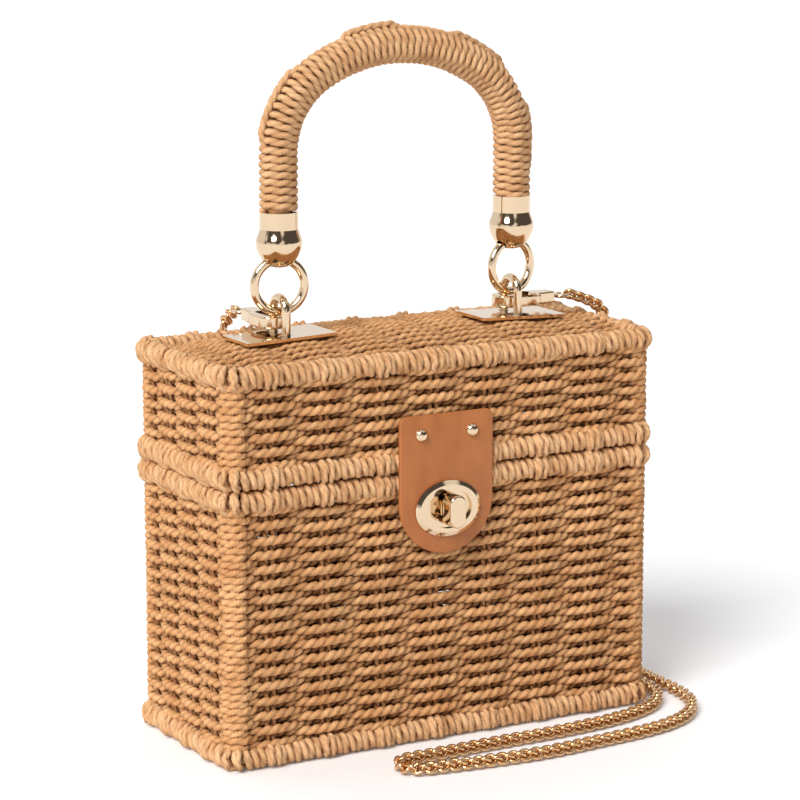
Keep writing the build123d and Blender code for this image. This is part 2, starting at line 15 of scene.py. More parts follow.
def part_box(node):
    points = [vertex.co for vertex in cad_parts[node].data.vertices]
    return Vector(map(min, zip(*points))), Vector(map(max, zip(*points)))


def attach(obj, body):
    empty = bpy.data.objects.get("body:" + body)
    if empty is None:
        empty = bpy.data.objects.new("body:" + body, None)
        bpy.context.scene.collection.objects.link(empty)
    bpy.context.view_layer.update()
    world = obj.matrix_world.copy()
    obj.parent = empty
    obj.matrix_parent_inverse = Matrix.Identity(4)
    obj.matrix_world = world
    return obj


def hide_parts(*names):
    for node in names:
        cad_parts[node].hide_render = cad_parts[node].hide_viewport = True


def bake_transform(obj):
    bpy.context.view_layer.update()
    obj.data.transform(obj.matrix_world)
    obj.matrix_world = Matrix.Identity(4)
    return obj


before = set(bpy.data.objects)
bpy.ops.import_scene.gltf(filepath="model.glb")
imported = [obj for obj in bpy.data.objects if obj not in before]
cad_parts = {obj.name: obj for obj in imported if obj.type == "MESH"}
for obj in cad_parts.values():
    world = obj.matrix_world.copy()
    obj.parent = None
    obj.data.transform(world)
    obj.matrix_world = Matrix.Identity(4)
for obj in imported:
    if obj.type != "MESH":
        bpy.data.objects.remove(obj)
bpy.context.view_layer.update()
MM = 0.001
scene = bpy.context.scene

# %% [markdown]
# ## Camera
# A bag is usually shown through a long lens from some way off, a little above it and to one side,
# which keeps its upright lines upright. Two angles and a distance place the camera on a sphere round
# the point it looks at. A Track To constraint could turn it there, but the turn is worked out once
# instead, so nothing has to be kept live.

# %% camera
aim = Vector((1.1, 0.0, 132.7)) * MM
azimuth, elevation, distance = radians(-29.52), radians(11.09), 1229.5 * MM
camera = bpy.data.objects.new("photo_camera", bpy.data.cameras.new("photo_camera"))
camera.data.lens = 135.0
camera.data.sensor_width = 36.0
to_camera = Vector((sin(azimuth) * cos(elevation), -cos(azimuth) * cos(elevation), sin(elevation)))
camera.location = aim + to_camera * distance
camera.rotation_euler = (aim - camera.location).to_track_quat("-Z", "Y").to_euler()
scene.collection.objects.link(camera)
scene.camera = camera
print("camera at", [round(v, 4) for v in camera.location])

# %% [markdown]
# ## Helpers
# Paper cord is two plies twisted together. `add_strand` sweeps an eight-cornered section with two dips
# along a line of points and turns it steadily, so the dips run round the strand like the groove
# between two plies. Every strand turns the same way, as the cord comes off one reel. A curve with a
# bevel and a tilt could do it too, but hundreds of turns of tilt come out uneven, so the section is
# placed point by point.
# `finish_piece` smooths a piece and hands it to its CAD body with its material.

# %% helpers for pieces
def add_object(name, data):
    made = bpy.data.objects.new(name, data)
    scene.collection.objects.link(made)
    return made

def finish_piece(obj, material, body, replaces=()):
    """Shades a piece smooth, gives it its material and hands it to its CAD body."""
    obj.data.materials.clear()
    obj.data.materials.append(material)
    obj.data.shade_smooth()
    if body:
        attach(obj, body)
    if replaces:
        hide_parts(*replaces)
    obj.data.calc_loop_triangles()
    print(obj.name, "triangles", len(obj.data.loop_triangles))
    return obj

# %% sweep two-ply cord
ply_reach = (1.0, 0.96, 0.74, 0.96, 1.0, 0.96, 0.74, 0.96)
corners = len(ply_reach)
ply_turn = [(cos(2 * pi * k / corners), sin(2 * pi * k / corners)) for k in range(corners)]
# groove_shade darkens the grooves between the plies: painted shade.
crease_stretch, crease_spread, groove_shade = 0.16, 17.3, 0.34

def new_rope():
    return {"places": [], "faces": [], "along": []}

def add_strand(rope, points, radius, lay, phase=0.0, cyclic=False, ups=None):
    """One strand: points in mm, radius in mm, lay is the length of one full twist of the plies."""
    count = len(points)
    lengths = [(points[i] - points[i - 1]).length for i in range(0 if cyclic else 1, count)]
    if cyclic:
        lay = sum(lengths) / max(1, round(sum(lengths) / lay))
        lengths = lengths[1:]
    first = len(rope["places"])
    shift = crease_spread * random.random()
    run = 0.0
    for i, point in enumerate(points):
        if i:
            run += lengths[i - 1]
        before = points[i - 1] if i or cyclic else point
        after = points[(i + 1) % count] if i < count - 1 or cyclic else point
        ahead = (after - before).normalized()
        across = ahead.cross(ups[i] if ups else Vector((0, 0, 1))).normalized()
        up = across.cross(ahead)
        turn = phase + 2 * pi * run / lay
        c, s = cos(turn), sin(turn)
        one, two = across * c + up * s, up * c - across * s
        for k in range(corners):
            x, y = ply_turn[k]
            rope["places"].append((point + (one * x + two * y) * (radius * ply_reach[k])) * MM)
            rope["along"].extend((run * crease_stretch + shift, x, y + shift))
    for i in range(count if cyclic else count - 1):
        low, high = first + corners * i, first + corners * ((i + 1) % count)
        for k in range(corners):
            n = (k + 1) % corners
            rope["faces"].append((low + k, low + n, high + n, high + k))
    if not cyclic:
        rope["faces"].append([first + k for k in reversed(range(corners))])
        rope["faces"].append([first + corners * (count - 1) + k for k in range(corners)])

def rope_object(name, rope, shade_and_dust_at):
    """The mesh of all strands, with how much painted shade, and a little dust, each point gets: 0 outside,
    1 deep in the weave.
    """
    mesh = bpy.data.meshes.new(name)
    mesh.from_pydata(rope["places"], [], rope["faces"])
    shaped = bmesh.new()
    shaped.from_mesh(mesh)
    bmesh.ops.recalc_face_normals(shaped, faces=shaped.faces)
    shaped.to_mesh(mesh)
    shaped.free()
    shade_and_dust_values = []
    for i, place in enumerate(rope["places"]):
        # The corners in the grooves between the plies get extra painted shade.
        in_groove = i % (corners // 2) == 2
        shade_and_dust_values.append(min(1.0, max(0.0, shade_and_dust_at(place / MM)) + (groove_shade if in_groove else 0.0)))
    mesh.attributes.new("shade_and_dust", "FLOAT", "POINT").data.foreach_set("value", shade_and_dust_values)
    mesh.attributes.new("along", "FLOAT_VECTOR", "POINT").data.foreach_set("vector", rope["along"])
    return add_object(name, mesh)

print("cord section", corners, "corners")

# %% [markdown]
# ## Finishes
# Paper cord is dull and slightly uneven. A coarse noise shifts its colour from strand to strand. A
# fine one, stretched along each strand, gives its creases, and the same noise roughens it as bump.
# Deeper in the weave the colour is darkened towards a near black: painted shade, with a little dust. So
# each woven piece stores how much at each point in an attribute named shade_and_dust, and the colour
# follows it.

# %% straw finish
def new_material(name):
    made = bpy.data.materials.new(name)
    made.use_nodes = True
    nodes = made.node_tree.nodes
    return made, nodes, made.node_tree.links, nodes["Principled BSDF"]

# A Mix node numbers its sockets by kind: numbers first, colours further down.
FACTOR, NUMBER_A, NUMBER_B, COLOUR_A, COLOUR_B = 0, 2, 3, 6, 7
NUMBER_OUT, COLOUR_OUT = 0, 2

def straw_finish(name, light, mid, shade_and_dust_colour, patch=0.4):
    made, nodes, links, shader = new_material(name)
    where = nodes.new("ShaderNodeTexCoord")
    coarse = nodes.new("ShaderNodeTexNoise")
    coarse.inputs["Scale"].default_value = 130.0
    coarse.inputs["Detail"].default_value = 3.0
    lines = nodes.new("ShaderNodeAttribute")
    lines.attribute_name = "along"
    fine = nodes.new("ShaderNodeTexNoise")
    fine.inputs["Scale"].default_value = 3.4
    fine.inputs["Detail"].default_value = 4.0
    fine.inputs["Roughness"].default_value = 0.7
    tone = nodes.new("ShaderNodeValToRGB")
    tone.color_ramp.elements[0].position = 0.4
    tone.color_ramp.elements[0].color = (*mid, 1)
    tone.color_ramp.elements[1].position = 0.6
    tone.color_ramp.elements[1].color = (*light, 1)
    blend_noise = nodes.new("ShaderNodeMix")
    blend_noise.inputs[FACTOR].default_value = patch
    # Painted shade, with a little dust: the colour is mixed towards the dark colour where the piece says a
    # point lies deep.
    shade_and_dust = nodes.new("ShaderNodeAttribute")
    shade_and_dust.attribute_name = "shade_and_dust"
    shade = nodes.new("ShaderNodeMix")
    shade.data_type = "RGBA"
    shade.inputs[COLOUR_B].default_value = (*shade_and_dust_colour, 1)
    bump = nodes.new("ShaderNodeBump")
    bump.inputs["Strength"].default_value = 0.8
    bump.inputs["Distance"].default_value = 0.32 * MM
    shader.inputs["Roughness"].default_value = 0.72
    shader.inputs["Specular IOR Level"].default_value = 0.14
    links.new(where.outputs["Object"], coarse.inputs["Vector"])
    links.new(lines.outputs["Vector"], fine.inputs["Vector"])
    links.new(fine.outputs["Fac"], blend_noise.inputs[NUMBER_A])
    links.new(coarse.outputs["Fac"], blend_noise.inputs[NUMBER_B])
    links.new(blend_noise.outputs[NUMBER_OUT], tone.inputs["Fac"])
    links.new(tone.outputs["Color"], shade.inputs[COLOUR_A])
    links.new(shade_and_dust.outputs["Fac"], shade.inputs[FACTOR])
    links.new(shade.outputs[COLOUR_OUT], shader.inputs["Base Color"])
    links.new(fine.outputs["Fac"], bump.inputs["Height"])
    links.new(bump.outputs["Normal"], shader.inputs["Normal"])
    return made

# The last colour of each straw finish is painted shade, with a little dust, for the deep parts of the
# weave.
straw = straw_finish(
    "straw_cord", light=(0.86, 0.495, 0.235), mid=(0.60, 0.278, 0.107), shade_and_dust_colour=(0.11, 0.03, 0.005)
)
straw_bound = straw_finish(
    "straw_binding", light=(0.83, 0.52, 0.28), mid=(0.59, 0.305, 0.132), shade_and_dust_colour=(0.17, 0.052, 0.012)
)
print("straw finishes ready")

# %% [markdown]
# The fittings are cast alloy with a pale gold plating, polished like a mirror. A metallic shader
# with a low roughness does that, and a faint large noise in the roughness stands for handling.
# The leather is smooth tanned hide: a fine grain in the bump, a cloudy colour, and a soft gloss.

# %% metal and leather finishes
def metal_finish(name, colour, rough, cloud=0.04):
    made, nodes, links, shader = new_material(name)
    shader.inputs["Base Color"].default_value = (*colour, 1)
    shader.inputs["Metallic"].default_value = 1.0
    where = nodes.new("ShaderNodeTexCoord")
    haze = nodes.new("ShaderNodeTexNoise")
    haze.inputs["Scale"].default_value = 240.0
    haze.inputs["Detail"].default_value = 3.0
    level = nodes.new("ShaderNodeMapRange")
    level.inputs["To Min"].default_value = max(0.02, rough - cloud)
    level.inputs["To Max"].default_value = rough + cloud
    links.new(where.outputs["Object"], haze.inputs["Vector"])
    links.new(haze.outputs["Fac"], level.inputs["Value"])
    links.new(level.outputs["Result"], shader.inputs["Roughness"])
    return made

gold = metal_finish("pale_gold", (0.78, 0.60, 0.41), 0.07, 0.03)
gold_links = metal_finish("gold_links", (0.76, 0.47, 0.235), 0.18)

def leather_finish(name, colour, dark):
    made, nodes, links, shader = new_material(name)
    where = nodes.new("ShaderNodeTexCoord")
    stretch = nodes.new("ShaderNodeMapping")
    stretch.inputs["Scale"].default_value = (1.0, 1.0, 0.35)
    cloud = nodes.new("ShaderNodeTexNoise")
    cloud.inputs["Scale"].default_value = 160.0
    cloud.inputs["Detail"].default_value = 5.0
    grain = nodes.new("ShaderNodeTexNoise")
    grain.inputs["Scale"].default_value = 1400.0
    grain.inputs["Detail"].default_value = 3.0
    tone = nodes.new("ShaderNodeValToRGB")
    tone.color_ramp.elements[0].position = 0.3
    tone.color_ramp.elements[0].color = (*dark, 1)
    tone.color_ramp.elements[1].position = 0.7
    tone.color_ramp.elements[1].color = (*colour, 1)
    bump = nodes.new("ShaderNodeBump")
    bump.inputs["Strength"].default_value = 0.25
    bump.inputs["Distance"].default_value = 0.15 * MM
    shader.inputs["Roughness"].default_value = 0.48
    shader.inputs["Specular IOR Level"].default_value = 0.35
    links.new(where.outputs["Object"], stretch.inputs["Vector"])
    links.new(stretch.outputs["Vector"], cloud.inputs["Vector"])
    links.new(stretch.outputs["Vector"], grain.inputs["Vector"])
    links.new(cloud.outputs["Fac"], tone.inputs["Fac"])
    links.new(tone.outputs["Color"], shader.inputs["Base Color"])
    links.new(grain.outputs["Fac"], bump.inputs["Height"])
    links.new(bump.outputs["Normal"], shader.inputs["Normal"])
    return made

leather = leather_finish("tan_leather", (0.46, 0.158, 0.047), (0.37, 0.12, 0.034))
print("metal and leather finishes ready")

# %% [markdown]
# ## Shoulder chain
# The chain lies where the CAD tubes lie. Its route is one smooth NURBS line led by listed points, and
# the links are strung along the line read back from it. Each link is a small stretched ring, and
# neighbours lean opposite ways, so that together they read as one dense flat chain. A link could be
# linked through its neighbours one by one, but leaning them looks as dense and needs no search for
# places.

# %% chain route
chain_route = [
    (86.9, 5.6, 169.2), (95.4, 6.1, 166.6), (104.0, 7.0, 161.8), (107.6, 8.2, 152.0),
    (107.9, 9.2, 134.0), (107.8, 10.4, 102.0), (107.2, 10.7, 66.0), (106.9, 10.1, 38.0),
    (106.8, 6.4, 20.5), (106.8, -3.0, 8.2), (106.9, -16.5, 3.0), (107.2, -31.0, 3.0),
    (101.4, -45.0, 3.0), (89.0, -55.0, 3.0), (68.0, -61.6, 3.0), (40.0, -64.2, 3.0),
    (8.0, -64.4, 3.0), (-11.0, -65.2, 3.0), (-24.0, -65.3, 3.0), (-34.8, -65.4, 3.0),
    (-38.9, -69.3, 3.0), (-38.9, -75.2, 3.0), (-34.8, -79.1, 3.0), (-24.2, -80.6, 3.0),
    (-4.0, -83.4, 3.0), (22.0, -85.2, 3.0), (50.0, -82.4, 3.0), (74.0, -80.4, 3.0),
    (92.0, -74.6, 3.0), (104.4, -65.0, 3.0), (112.0, -52.4, 3.0), (114.8, -38.0, 3.0),
    (115.0, -20.0, 3.0), (116.4, 0.0, 3.0), (116.2, 22.0, 3.0), (112.6, 40.0, 3.0),
    (103.0, 54.0, 3.0), (87.0, 61.4, 3.0), (64.0, 62.4, 3.0), (34.0, 60.4, 3.0),
    (4.0, 62.6, 3.0), (-20.0, 62.2, 3.0), (-36.0, 60.4, 3.0), (-48.0, 57.2, 8.6),
    (-54.0, 54.2, 22.0), (-55.6, 52.6, 42.0), (-55.4, 51.6, 70.0), (-55.0, 51.6, 100.0),
    (-55.2, 51.4, 128.0), (-55.2, 51.8, 146.0), (-54.8, 50.8, 158.6), (-54.4, 45.4, 166.0),
    (-54.0, 38.5, 169.2),
]
line_data = bpy.data.curves.new("chain_line", "CURVE")
line_data.dimensions = "3D"
line_data.resolution_u = 24
line = line_data.splines.new("NURBS")
line.points.add(len(chain_route) - 1)
for point, place in zip(line.points, chain_route):
    point.co = (*(Vector(place) * MM), 1)
line.order_u = 3
line.use_endpoint_u = True
line_object = add_object("chain_line", line_data)
bpy.context.view_layer.update()
line_mesh = bpy.data.meshes.new_from_object(line_object)
chain_line = [v.co / MM for v in line_mesh.vertices]
bpy.data.objects.remove(line_object)
chain_run = [0.0]
for before, after in zip(chain_line, chain_line[1:]):
    chain_run.append(chain_run[-1] + (after - before).length)
print("chain line", round(chain_run[-1], 1), "mm,", len(chain_line), "points")

def chain_at(run):
    """The place and direction on the chain's line after a run in mm."""
    run = min(max(run, 0.0), chain_run[-1] - 1e-6)
    low, high = 0, len(chain_run) - 1
    while high - low > 1:
        half = (low + high) // 2
        if chain_run[half] <= run:
            low = half
        else:
            high = half
    part = (run - chain_run[low]) / (chain_run[high] - chain_run[low])
    return chain_line[low].lerp(chain_line[high], part), (chain_line[high] - chain_line[low]).normalized()

# %% chain links
link_length, link_width, link_wire, link_pitch = 6.2, 6.0, 0.85, 2.55
wire_place = Matrix.Translation((link_width / 2 - link_wire, 0, 0)) @ Matrix.Rotation(pi / 2, 4, "X")
link = bmesh.new()
bmesh.ops.create_circle(link, segments=5, radius=link_wire, matrix=wire_place)
bmesh.ops.spin(
    link,
    geom=link.verts[:] + link.edges[:],
    cent=(0, 0, 0),
    axis=(0, 0, 1),
    angle=2 * pi,
    steps=12,
    use_merge=True,
)
stretch_along = (link_length - 2 * link_wire) / (link_width - 2 * link_wire)
for v in link.verts:
    v.co.y *= stretch_along
bmesh.ops.remove_doubles(link, verts=link.verts, dist=0.01)
bmesh.ops.recalc_face_normals(link, faces=link.faces)
# The spin numbers its corners differently from run to run, so they are sorted by where they lie.
sort_along = Vector((1.0, 3.1, 7.3))
link.verts.sort(key=lambda v: v.co.dot(sort_along))
link.faces.sort(key=lambda f: f.calc_center_median().dot(sort_along))
link_mesh = bpy.data.meshes.new("chain_link")
link.to_mesh(link_mesh)
print("one link has", len(link.faces), "faces")
link.free()

link_lean, link_tip, lean_play = 42, 17, 5
nearly_upright = 0.85
links_made = bmesh.new()
random.seed(7)
count = int(chain_run[-1] / link_pitch)
for i in range(count + 1):
    run = i * link_pitch
    place, ahead = chain_at(run)
    up = Vector((0, 0, 1)) if abs(ahead.z) < nearly_upright else Vector((1, 0, 0))
    across = ahead.cross(up).normalized()
    up = across.cross(ahead).normalized()
    way = 1 if i % 2 else -1
    lean = radians(way * link_lean) + radians(random.uniform(-lean_play, lean_play))
    tip = radians(way * link_tip)
    turned = Matrix((across, ahead, up)).transposed().to_4x4()
    spot = Matrix.Translation(place) @ turned @ Matrix.Rotation(lean, 4, "Y") @ Matrix.Rotation(tip, 4, "X")
    first = len(links_made.verts)
    links_made.from_mesh(link_mesh)
    links_made.verts.ensure_lookup_table()
    bmesh.ops.transform(links_made, matrix=Matrix.Scale(MM, 4) @ spot, verts=links_made.verts[first:])
chain_mesh = bpy.data.meshes.new("shoulder_chain")
links_made.to_mesh(chain_mesh)
links_made.free()
lowest = min(v.co.z for v in chain_mesh.vertices)
print("links", count + 1, "lowest point", round(lowest / MM, 2), "mm")
chain = finish_piece(
    add_object("shoulder_chain", chain_mesh),
    gold_links,
    None,
    [
        "chain_lid_right",
        "chain_drop_right",
        "chain_floor_front",
        "chain_floor_rear",
        "chain_drop_rear",
        "chain_lid_rear",
    ],
)
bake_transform(chain)

# %% [markdown]
# ## Woven walls
# The walls are plain-woven: pairs of upright stakes, and rows of two-ply cord that pass outside one
# pair and inside the next, with each row opposite to the one below. So at a pair every second row
# is seen, with a dark gap and a bit of stake between, and halfway between pairs all rows crowd
# together. A flat wall with a woven bump would be lighter, but its gaps would be painted, so the
# strands are real here. Each row is one closed strand round the box. `around` gives a place on the
# walls' middle line from the run along it, and the strand sways in and out of that line.

# %% the line round the box
rim_low, rim_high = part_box("body_rim_binding")
rim_radius = 4.2
half_x = (rim_high.x - rim_low.x) / 2 / MM - rim_radius
half_y = (rim_high.y - rim_low.y) / 2 / MM - rim_radius
corner = 5.8
straight_x, straight_y, bend = 2 * (half_x - corner), 2 * (half_y - corner), pi / 2 * corner
perimeter = 2 * (straight_x + straight_y) + 4 * bend
sides = [
    (straight_x, Vector((-half_x + corner, -half_y, 0)), Vector((1, 0, 0)), Vector((0, -1, 0))),
    (straight_y, Vector((half_x, -half_y + corner, 0)), Vector((0, 1, 0)), Vector((1, 0, 0))),
    (straight_x, Vector((half_x - corner, half_y, 0)), Vector((-1, 0, 0)), Vector((0, 1, 0))),
    (straight_y, Vector((-half_x, half_y - corner, 0)), Vector((0, -1, 0)), Vector((-1, 0, 0))),
]

def around(run):
    """A place on the line round the box and its outward direction; the run starts at the front left."""
    run %= perimeter
    for length, start, along, out in sides:
        if run < length:
            return start + along * run, out
        run -= length
        if run < bend:
            turn = run / corner
            center = start + along * length - out * corner
            facing = out * cos(turn) + along * sin(turn)
            return center + facing * corner, facing
        run -= bend
    return sides[0][1], sides[0][3]

print("round the box", round(perimeter, 1), "mm")

# %% where the stakes stand
rear_shift = 5
front_stakes = [-79.3, -55.0, -30.0, -5.7, 19.3, 43.6, 68.6]
side_stakes = [-21.5, -2.5, 15.5, 32.0]
run_front = half_x - corner
stake_runs = [x + run_front for x in front_stakes]
right_start = straight_x + bend
stake_runs += [right_start - bend * 0.8] + [right_start + y + half_y - corner for y in side_stakes]
rear_start = right_start + straight_y + bend
stake_runs += [rear_start - bend * 0.4] + [rear_start + x + run_front + rear_shift for x in front_stakes]
left_start = rear_start + straight_x + bend
stake_runs += [left_start - bend * 0.6] + [left_start + half_y - corner - y for y in reversed(side_stakes)]
stake_runs += [perimeter - bend * 0.5]
stake_runs.sort()
print(len(stake_runs), "stake pairs")

def sway(run):
    """Half turns passed at a run: a whole number at each stake pair."""
    run %= perimeter
    if run < stake_runs[0]:
        return (run + perimeter - stake_runs[-1]) / (stake_runs[0] + perimeter - stake_runs[-1]) - 1
    for i in range(len(stake_runs) - 1):
        if run < stake_runs[i + 1]:
            return i + (run - stake_runs[i]) / (stake_runs[i + 1] - stake_runs[i])
    last = len(stake_runs) - 1
    return last + (run - stake_runs[-1]) / (stake_runs[0] + perimeter - stake_runs[-1])

# %% weave the walls
corner_runs = [straight_x + bend / 2, right_start + straight_y + bend / 2]
corner_runs += [rear_start + straight_x + bend / 2, perimeter - bend / 2]

hug_reach, hug_fade = 2.2, 4.6

def hug(run):
    """1 at a corner, where every row passes outside the post, falling to 0 a little way off."""
    away = min(abs(run - c) for c in corner_runs)
    part = min(1.0, max(0.0, (away - hug_reach) / hug_fade))
    return 1.0 - part * part * (3 - 2 * part)

cord_radius, size_play = 1.94, 0.05
lay = 8.6
row_pitch, row_play = 2.95, 0.1
middle_depth, swing = -0.75, 1.72

def wall_row(z, odd, seed, step=0.92):
    """The places of one closed row."""
    points = []
    count = int(perimeter / step)
    for i in range(count):
        run = perimeter * i / count
        place, out = around(run)
        phase = sway(run) + odd
        wave = cos(pi * phase)
        wave *= 1.22 - 0.22 * wave * wave
        corner_hug = hug(run)
        wave = wave * (1 - corner_hug) + corner_hug
        drift = noise.noise(Vector((run * 0.021, z * 0.9, seed)))
        rise = 0.26 * drift + 0.12 * sin(2 * pi * phase)
        points.append(place + out * (middle_depth + swing * wave + 0.12 * drift) + Vector((0, 0, z + rise)))
    return points

def wall_depth(inner, outer):
    """How deep a place lies under the woven surface, from 0 at the outer level to 1 at the inner."""
    def shade_and_dust_at(p):
        x, y = abs(p.x), abs(p.y)
        cx, cy = x - (half_x - corner), y - (half_y - corner)
        if cx > 0 and cy > 0:
            level = sqrt(cx * cx + cy * cy) - corner
        else:
            level = max(x - half_x, y - half_y)
        return (outer - level) / (outer - inner)
    return shade_and_dust_at

def weave_walls(name, low, high, body, replaces=(), start_odd=0):
    random.seed(name)
    rows = round((high - low) / row_pitch)
    pitch = (high - low) / rows
    woven = new_rope()
    for j in range(rows):
        z = low + pitch * (j + 0.5) + random.uniform(-row_play, row_play)
        size = cord_radius * random.uniform(1 - size_play, 1 + size_play)
        row = wall_row(z, (j + start_odd) % 2, 3.7 * (j + start_odd))
        add_strand(woven, row, size, lay, random.uniform(0, pi), cyclic=True)
    # The rows are painted darker the deeper they lie in the wall: painted shade, with a little dust.
    finish_piece(rope_object(name, woven, wall_depth(-1.9, 1.9)), straw, body, replaces)
    return rows

body_z = (8.0, 105.0)
third = (body_z[1] - body_z[0]) / 3
rows = 0
for i, part in enumerate(("low", "middle", "high")):
    low = body_z[0] + third * i
    replaced = ["body_walls"] if i == 0 else ()
    rows += weave_walls(f"body_weave_{part}", low, low + third, "body", replaced, rows % 2)
rows = weave_walls("lid_weave", 119.4, 154.0, "lid", ["lid_walls"])
print("rows in the lid", rows)

# %% stakes in the walls
stake_radius, stake_lay, stake_step, stake_gap = 1.28, 8.0, 1.6, 1.45

def wall_stakes(name, low, high, body, seed):
    random.seed(seed)
    stakes = new_rope()
    for run in stake_runs:
        for shift in (-stake_gap, stake_gap):
            points, ups = [], []
            for k in range(int((high - low) / stake_step) + 1):
                z = low + stake_step * k
                wobble = 0.35 * noise.noise(Vector((z * 0.06, run * 0.3, shift)))
                place, out = around(run + shift + wobble)
                points.append(place + out * (middle_depth + 0.25) + Vector((0, 0, z)))
                ups.append(out)
            add_strand(stakes, points, stake_radius, stake_lay, random.uniform(0, pi), ups=ups)
    # The stakes are painted darker the deeper they lie in the wall: painted shade, with a little dust.
    finish_piece(rope_object(name, stakes, wall_depth(-1.4, 2.8)), straw, body)

wall_stakes("body_stakes", 4.0, 108.5, "body", 11)
wall_stakes("lid_stakes", 116.0, 157.0, "lid", 12)

# %% [markdown]
# ## Wrapped rims
# Each rim is a steel wire with cord wound closely round it, about three millimetres to a turn. One
# long strand makes a whole rim: it runs round the wire as it goes round the box. The stakes of the
# wall are led over the rim's outside in pairs, which shows as two bars across the winding. A ring
# with grooves would look much the same from the front, but its outline would be too smooth.

# %% wind the rims
rim_turns, rim_steps = 172, 18
winding_reach, winding_radius, winding_lay = 2.85, 1.86, 15.0
strap_reach, strap_radius, strap_lay, strap_gap, strap_points = 4.45, 1.3, 9.0, 1.5, 15

def wind_rim(name, z, body, replaces, seed, straps):
    """straps holds the angles, in degrees, where a strap starts and ends on the rim's section."""
    random.seed(seed)
    count = rim_turns * rim_steps
    wound = new_rope()
    points, ups = [], []
    for i in range(count):
        turn = 2 * pi * i / rim_steps
        uneven = 0.5 * noise.noise(Vector((i / rim_steps * 0.55, seed, 0.3)))
        place, out = around(perimeter * i / count + uneven - 0.55 * cos(turn))
        reach = winding_reach + 0.25 * noise.noise(Vector((i / rim_steps * 0.9, 0.7, seed)))
        ups.append(out * cos(turn) + Vector((0, 0, -sin(turn))))
        points.append(place + Vector((0, 0, z)) + ups[-1] * reach)
    add_strand(wound, points, winding_radius, winding_lay, cyclic=True, ups=ups)
    for run in stake_runs:
        for shift in (-strap_gap, strap_gap):
            strap, over = [], []
            for k in range(strap_points):
                turn = radians(straps[0] + (straps[1] - straps[0]) * k / (strap_points - 1))
                place, out = around(run + shift + 0.25 * sin(k * 0.9))
                over.append(out * cos(turn) + Vector((0, 0, sin(turn))))
                strap.append(place + Vector((0, 0, z)) + over[-1] * strap_reach)
            add_strand(wound, strap, strap_radius, strap_lay, random.uniform(0, pi), ups=over)

    rim_outside, light_reach, dark_over = 4.4, 4.1, 2.6

    # Painted shade, with a little dust: the winding darkens towards the wire it is wound round, between the
    # turns.
    def shade_and_dust_at(p):
        level = rim_outside - rim_outside * wall_depth(0.0, rim_outside)(p)
        return (light_reach - sqrt(level * level + (p.z - z) ** 2)) / dark_over

    finish_piece(rope_object(name, wound, shade_and_dust_at), straw_bound, body, replaces)

wind_rim("base_rim_cord", 4.75, "body", ["body_base_binding"], 21, (-40, 95))
wind_rim("body_rim_cord", 107.6, "body", ["body_rim_binding"], 22, (-95, 80))
wind_rim("lid_rim_cord", 116.6, "lid", ["lid_rim_binding"], 23, (-80, 95))
wind_rim("lid_top_rim_cord", 156.4, "lid", ["lid_top_binding"], 24, (-95, 80))

# %% [markdown]
# ## Woven top and base
# The lid's top is the same weave laid flat and crowned a little in the middle, with its rows running
# from end to end. The base is woven the same way, without the crown.

# %% weave the top and the base
crown_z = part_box("lid_top")[1].z / MM
edge_drop = 4.2

def crown(x, y):
    """Height of the crowned top over a place."""
    return crown_z - edge_drop * (x / half_x) ** 2 - edge_drop * (y / half_y) ** 2

top_stakes = [-92.0, -76.0, -52.0, -26.0, -3.0, 22.0, 48.0, 73.6, 92.0]

def flat_sway(x):
    """Half turns passed at x, as sway counts them round the walls."""
    for i in range(len(top_stakes) - 1):
        if x < top_stakes[i + 1]:
            return i + (x - top_stakes[i]) / (top_stakes[i + 1] - top_stakes[i])
    return len(top_stakes) - 1.0

row_radius, row_depth, row_swing = 1.62, 2.45, 1.25
flat_stake_radius, flat_stake_lay, flat_stake_step, flat_stake_depth = 1.3, 7.0, 2.5, 2.5

def weave_flat(name, level, body, replaces, pitch, step, seed, up=1.0):
    """Weaves a sheet whose outside lies at a level; up is 1 where it faces up and -1 where down."""
    random.seed(seed)
    woven = new_rope()
    reach_x, reach_y = half_x - 2.4, half_y - 2.6
    rows = int(2 * reach_y / pitch) + 1
    for j in range(rows):
        y = -reach_y + 2 * reach_y * j / (rows - 1)
        points = []
        for i in range(int(2 * reach_x / step) + 1):
            x = -reach_x + step * i
            wave = cos(pi * (flat_sway(x) + j))
            wave *= 1.2 - 0.2 * wave * wave
            drift = noise.noise(Vector((x * 0.03, y * 0.8, seed)))
            z = level(x, y) + up * (-row_depth + row_swing * wave + 0.15 * drift)
            points.append(Vector((x, y + 0.35 * drift, z)))
        size = row_radius * random.uniform(1 - size_play, 1 + size_play)
        add_strand(woven, points, size, lay, random.uniform(0, pi))
    stake_points = int(2 * reach_y / flat_stake_step) + 1
    for x in top_stakes:
        for shift in (-stake_gap, stake_gap):
            points = [Vector((x + shift, -reach_y + flat_stake_step * k, 0)) for k in range(stake_points)]
            for p in points:
                p.z = level(p.x, p.y) - up * flat_stake_depth
            add_strand(woven, points, flat_stake_radius, flat_stake_lay, random.uniform(0, pi))
    light_depth, dark_over = 0.4, 3.8

    # Painted shade, with a little dust: the sheet darkens the deeper a point lies below its outside.
    def shade_and_dust_at(p):
        return (up * (level(p.x, p.y) - p.z) - light_depth) / dark_over

    finish_piece(rope_object(name, woven, shade_and_dust_at), straw, body, replaces)

weave_flat("lid_top_weave", crown, "lid", ["lid_top"], 2.85, 0.95, 31)
base_z = 0.6
weave_flat("base_weave", lambda x, y: base_z, "body", ["body_base"], 3.1, 1.6, 32, up=-1.0)

# %% [markdown]
# ## Handle
# The handle is a stiff rod wound with the same cord, and a second cord is laced along its outside,
# over some turns and under the next ones. The winding is one helix round the handle's arch line.

